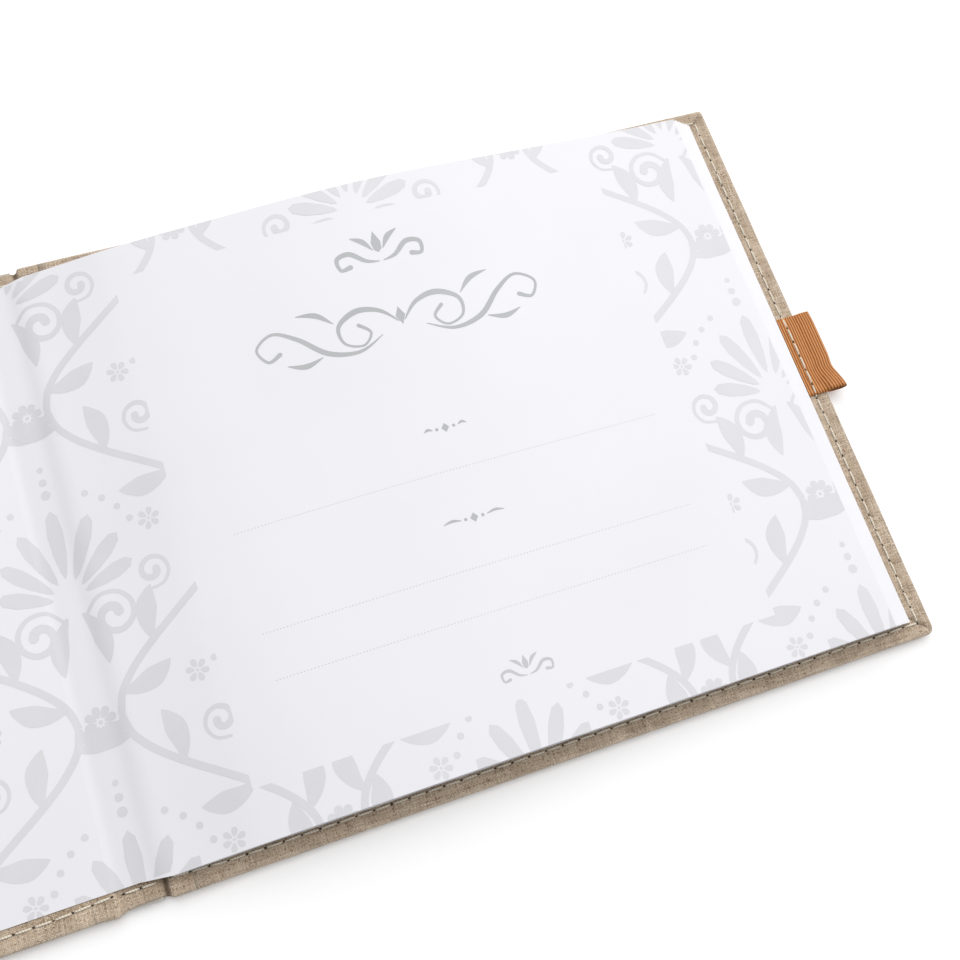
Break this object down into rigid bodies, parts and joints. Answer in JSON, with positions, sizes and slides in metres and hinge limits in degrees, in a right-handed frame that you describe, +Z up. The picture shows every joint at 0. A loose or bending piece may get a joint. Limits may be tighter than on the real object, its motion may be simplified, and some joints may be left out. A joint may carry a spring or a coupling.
{
  "type": "wedding guest book",
  "caption": "Landscape guest book in natural linen, lying open at a printed title leaf, with a stitched border round the covers and a tan ribbon pen loop on the fore edge.",
  "frame": {"origin": "centre of the underside of the book lying open, on the surface it lies on", "axes": "+X across the open spread towards the back cover's fore edge, +Y towards the head of the pages, +Z up"},
  "size_m": [0.4422, 0.175, 0.0103],
  "materials": {
    "linen": "natural linen bookcloth, plain weave with slubs",
    "greyboard": "grey binding board",
    "spine_card": "stiff spine strip",
    "endpaper": "smooth white paper printed in pale grey",
    "page_paper": "uncoated white paper",
    "mull": "open cotton gauze",
    "cream_thread": "cream sewing thread",
    "tan_ribbon": "ribbed grosgrain ribbon"
  },
  "bodies": {
    "back_cover": {"back_board": "greyboard", "back_cover_cloth": "linen", "back_pastedown": "endpaper", "back_stitching": "cream_thread", "ribbon_tab": "tan_ribbon", "back_flyleaf": "endpaper", "section_1": "page_paper", "section_2": "page_paper", "section_3": "page_paper", "section_4": "page_paper", "section_5": "page_paper"},
    "spine": {"spine_board": "spine_card", "spine_cloth": "linen", "spine_lining": "mull", "section_sewing": "cream_thread", "spine_stitching_head": "cream_thread", "spine_stitching_tail": "cream_thread"},
    "front_cover": {"front_board": "greyboard", "front_cover_cloth": "linen", "front_pastedown": "endpaper", "front_stitching": "cream_thread"},
    "guest_leaf": {"guest_leaf": "page_paper"},
    "title_leaf": {"title_leaf": "endpaper"},
    "ribbon_loop": {"ribbon_loop": "tan_ribbon"}
  },
  "joints": [
    {"name": "spine_hinge", "type": "hinge", "parent": "back_cover", "child": "spine", "pos_m": [0.0032, 0, 0.0012], "axis": [0, 1, 0], "range_deg": [0, 90]},
    {"name": "front_cover_hinge", "type": "hinge", "parent": "spine", "child": "front_cover", "pos_m": [-0.0082, 0, 0.0012], "axis": [0, 1, 0], "range_deg": [0, 90]},
    {"name": "guest_leaf_hinge", "type": "hinge", "parent": "back_cover", "child": "guest_leaf", "pos_m": [0.0055, 0, 0.00548], "axis": [0, 1, 0], "range_deg": [-28, 0]},
    {"name": "title_leaf_hinge", "type": "hinge", "parent": "guest_leaf", "child": "title_leaf", "pos_m": [0.0055, 0, 0.00583], "axis": [0, 1, 0], "range_deg": [-147, 0]},
    {"name": "ribbon_loop_hinge", "type": "hinge", "parent": "back_cover", "child": "ribbon_loop", "pos_m": [0.21645, 0, 0.00335], "axis": [0, -1, 0], "range_deg": [-20, 60]}
  ]
}
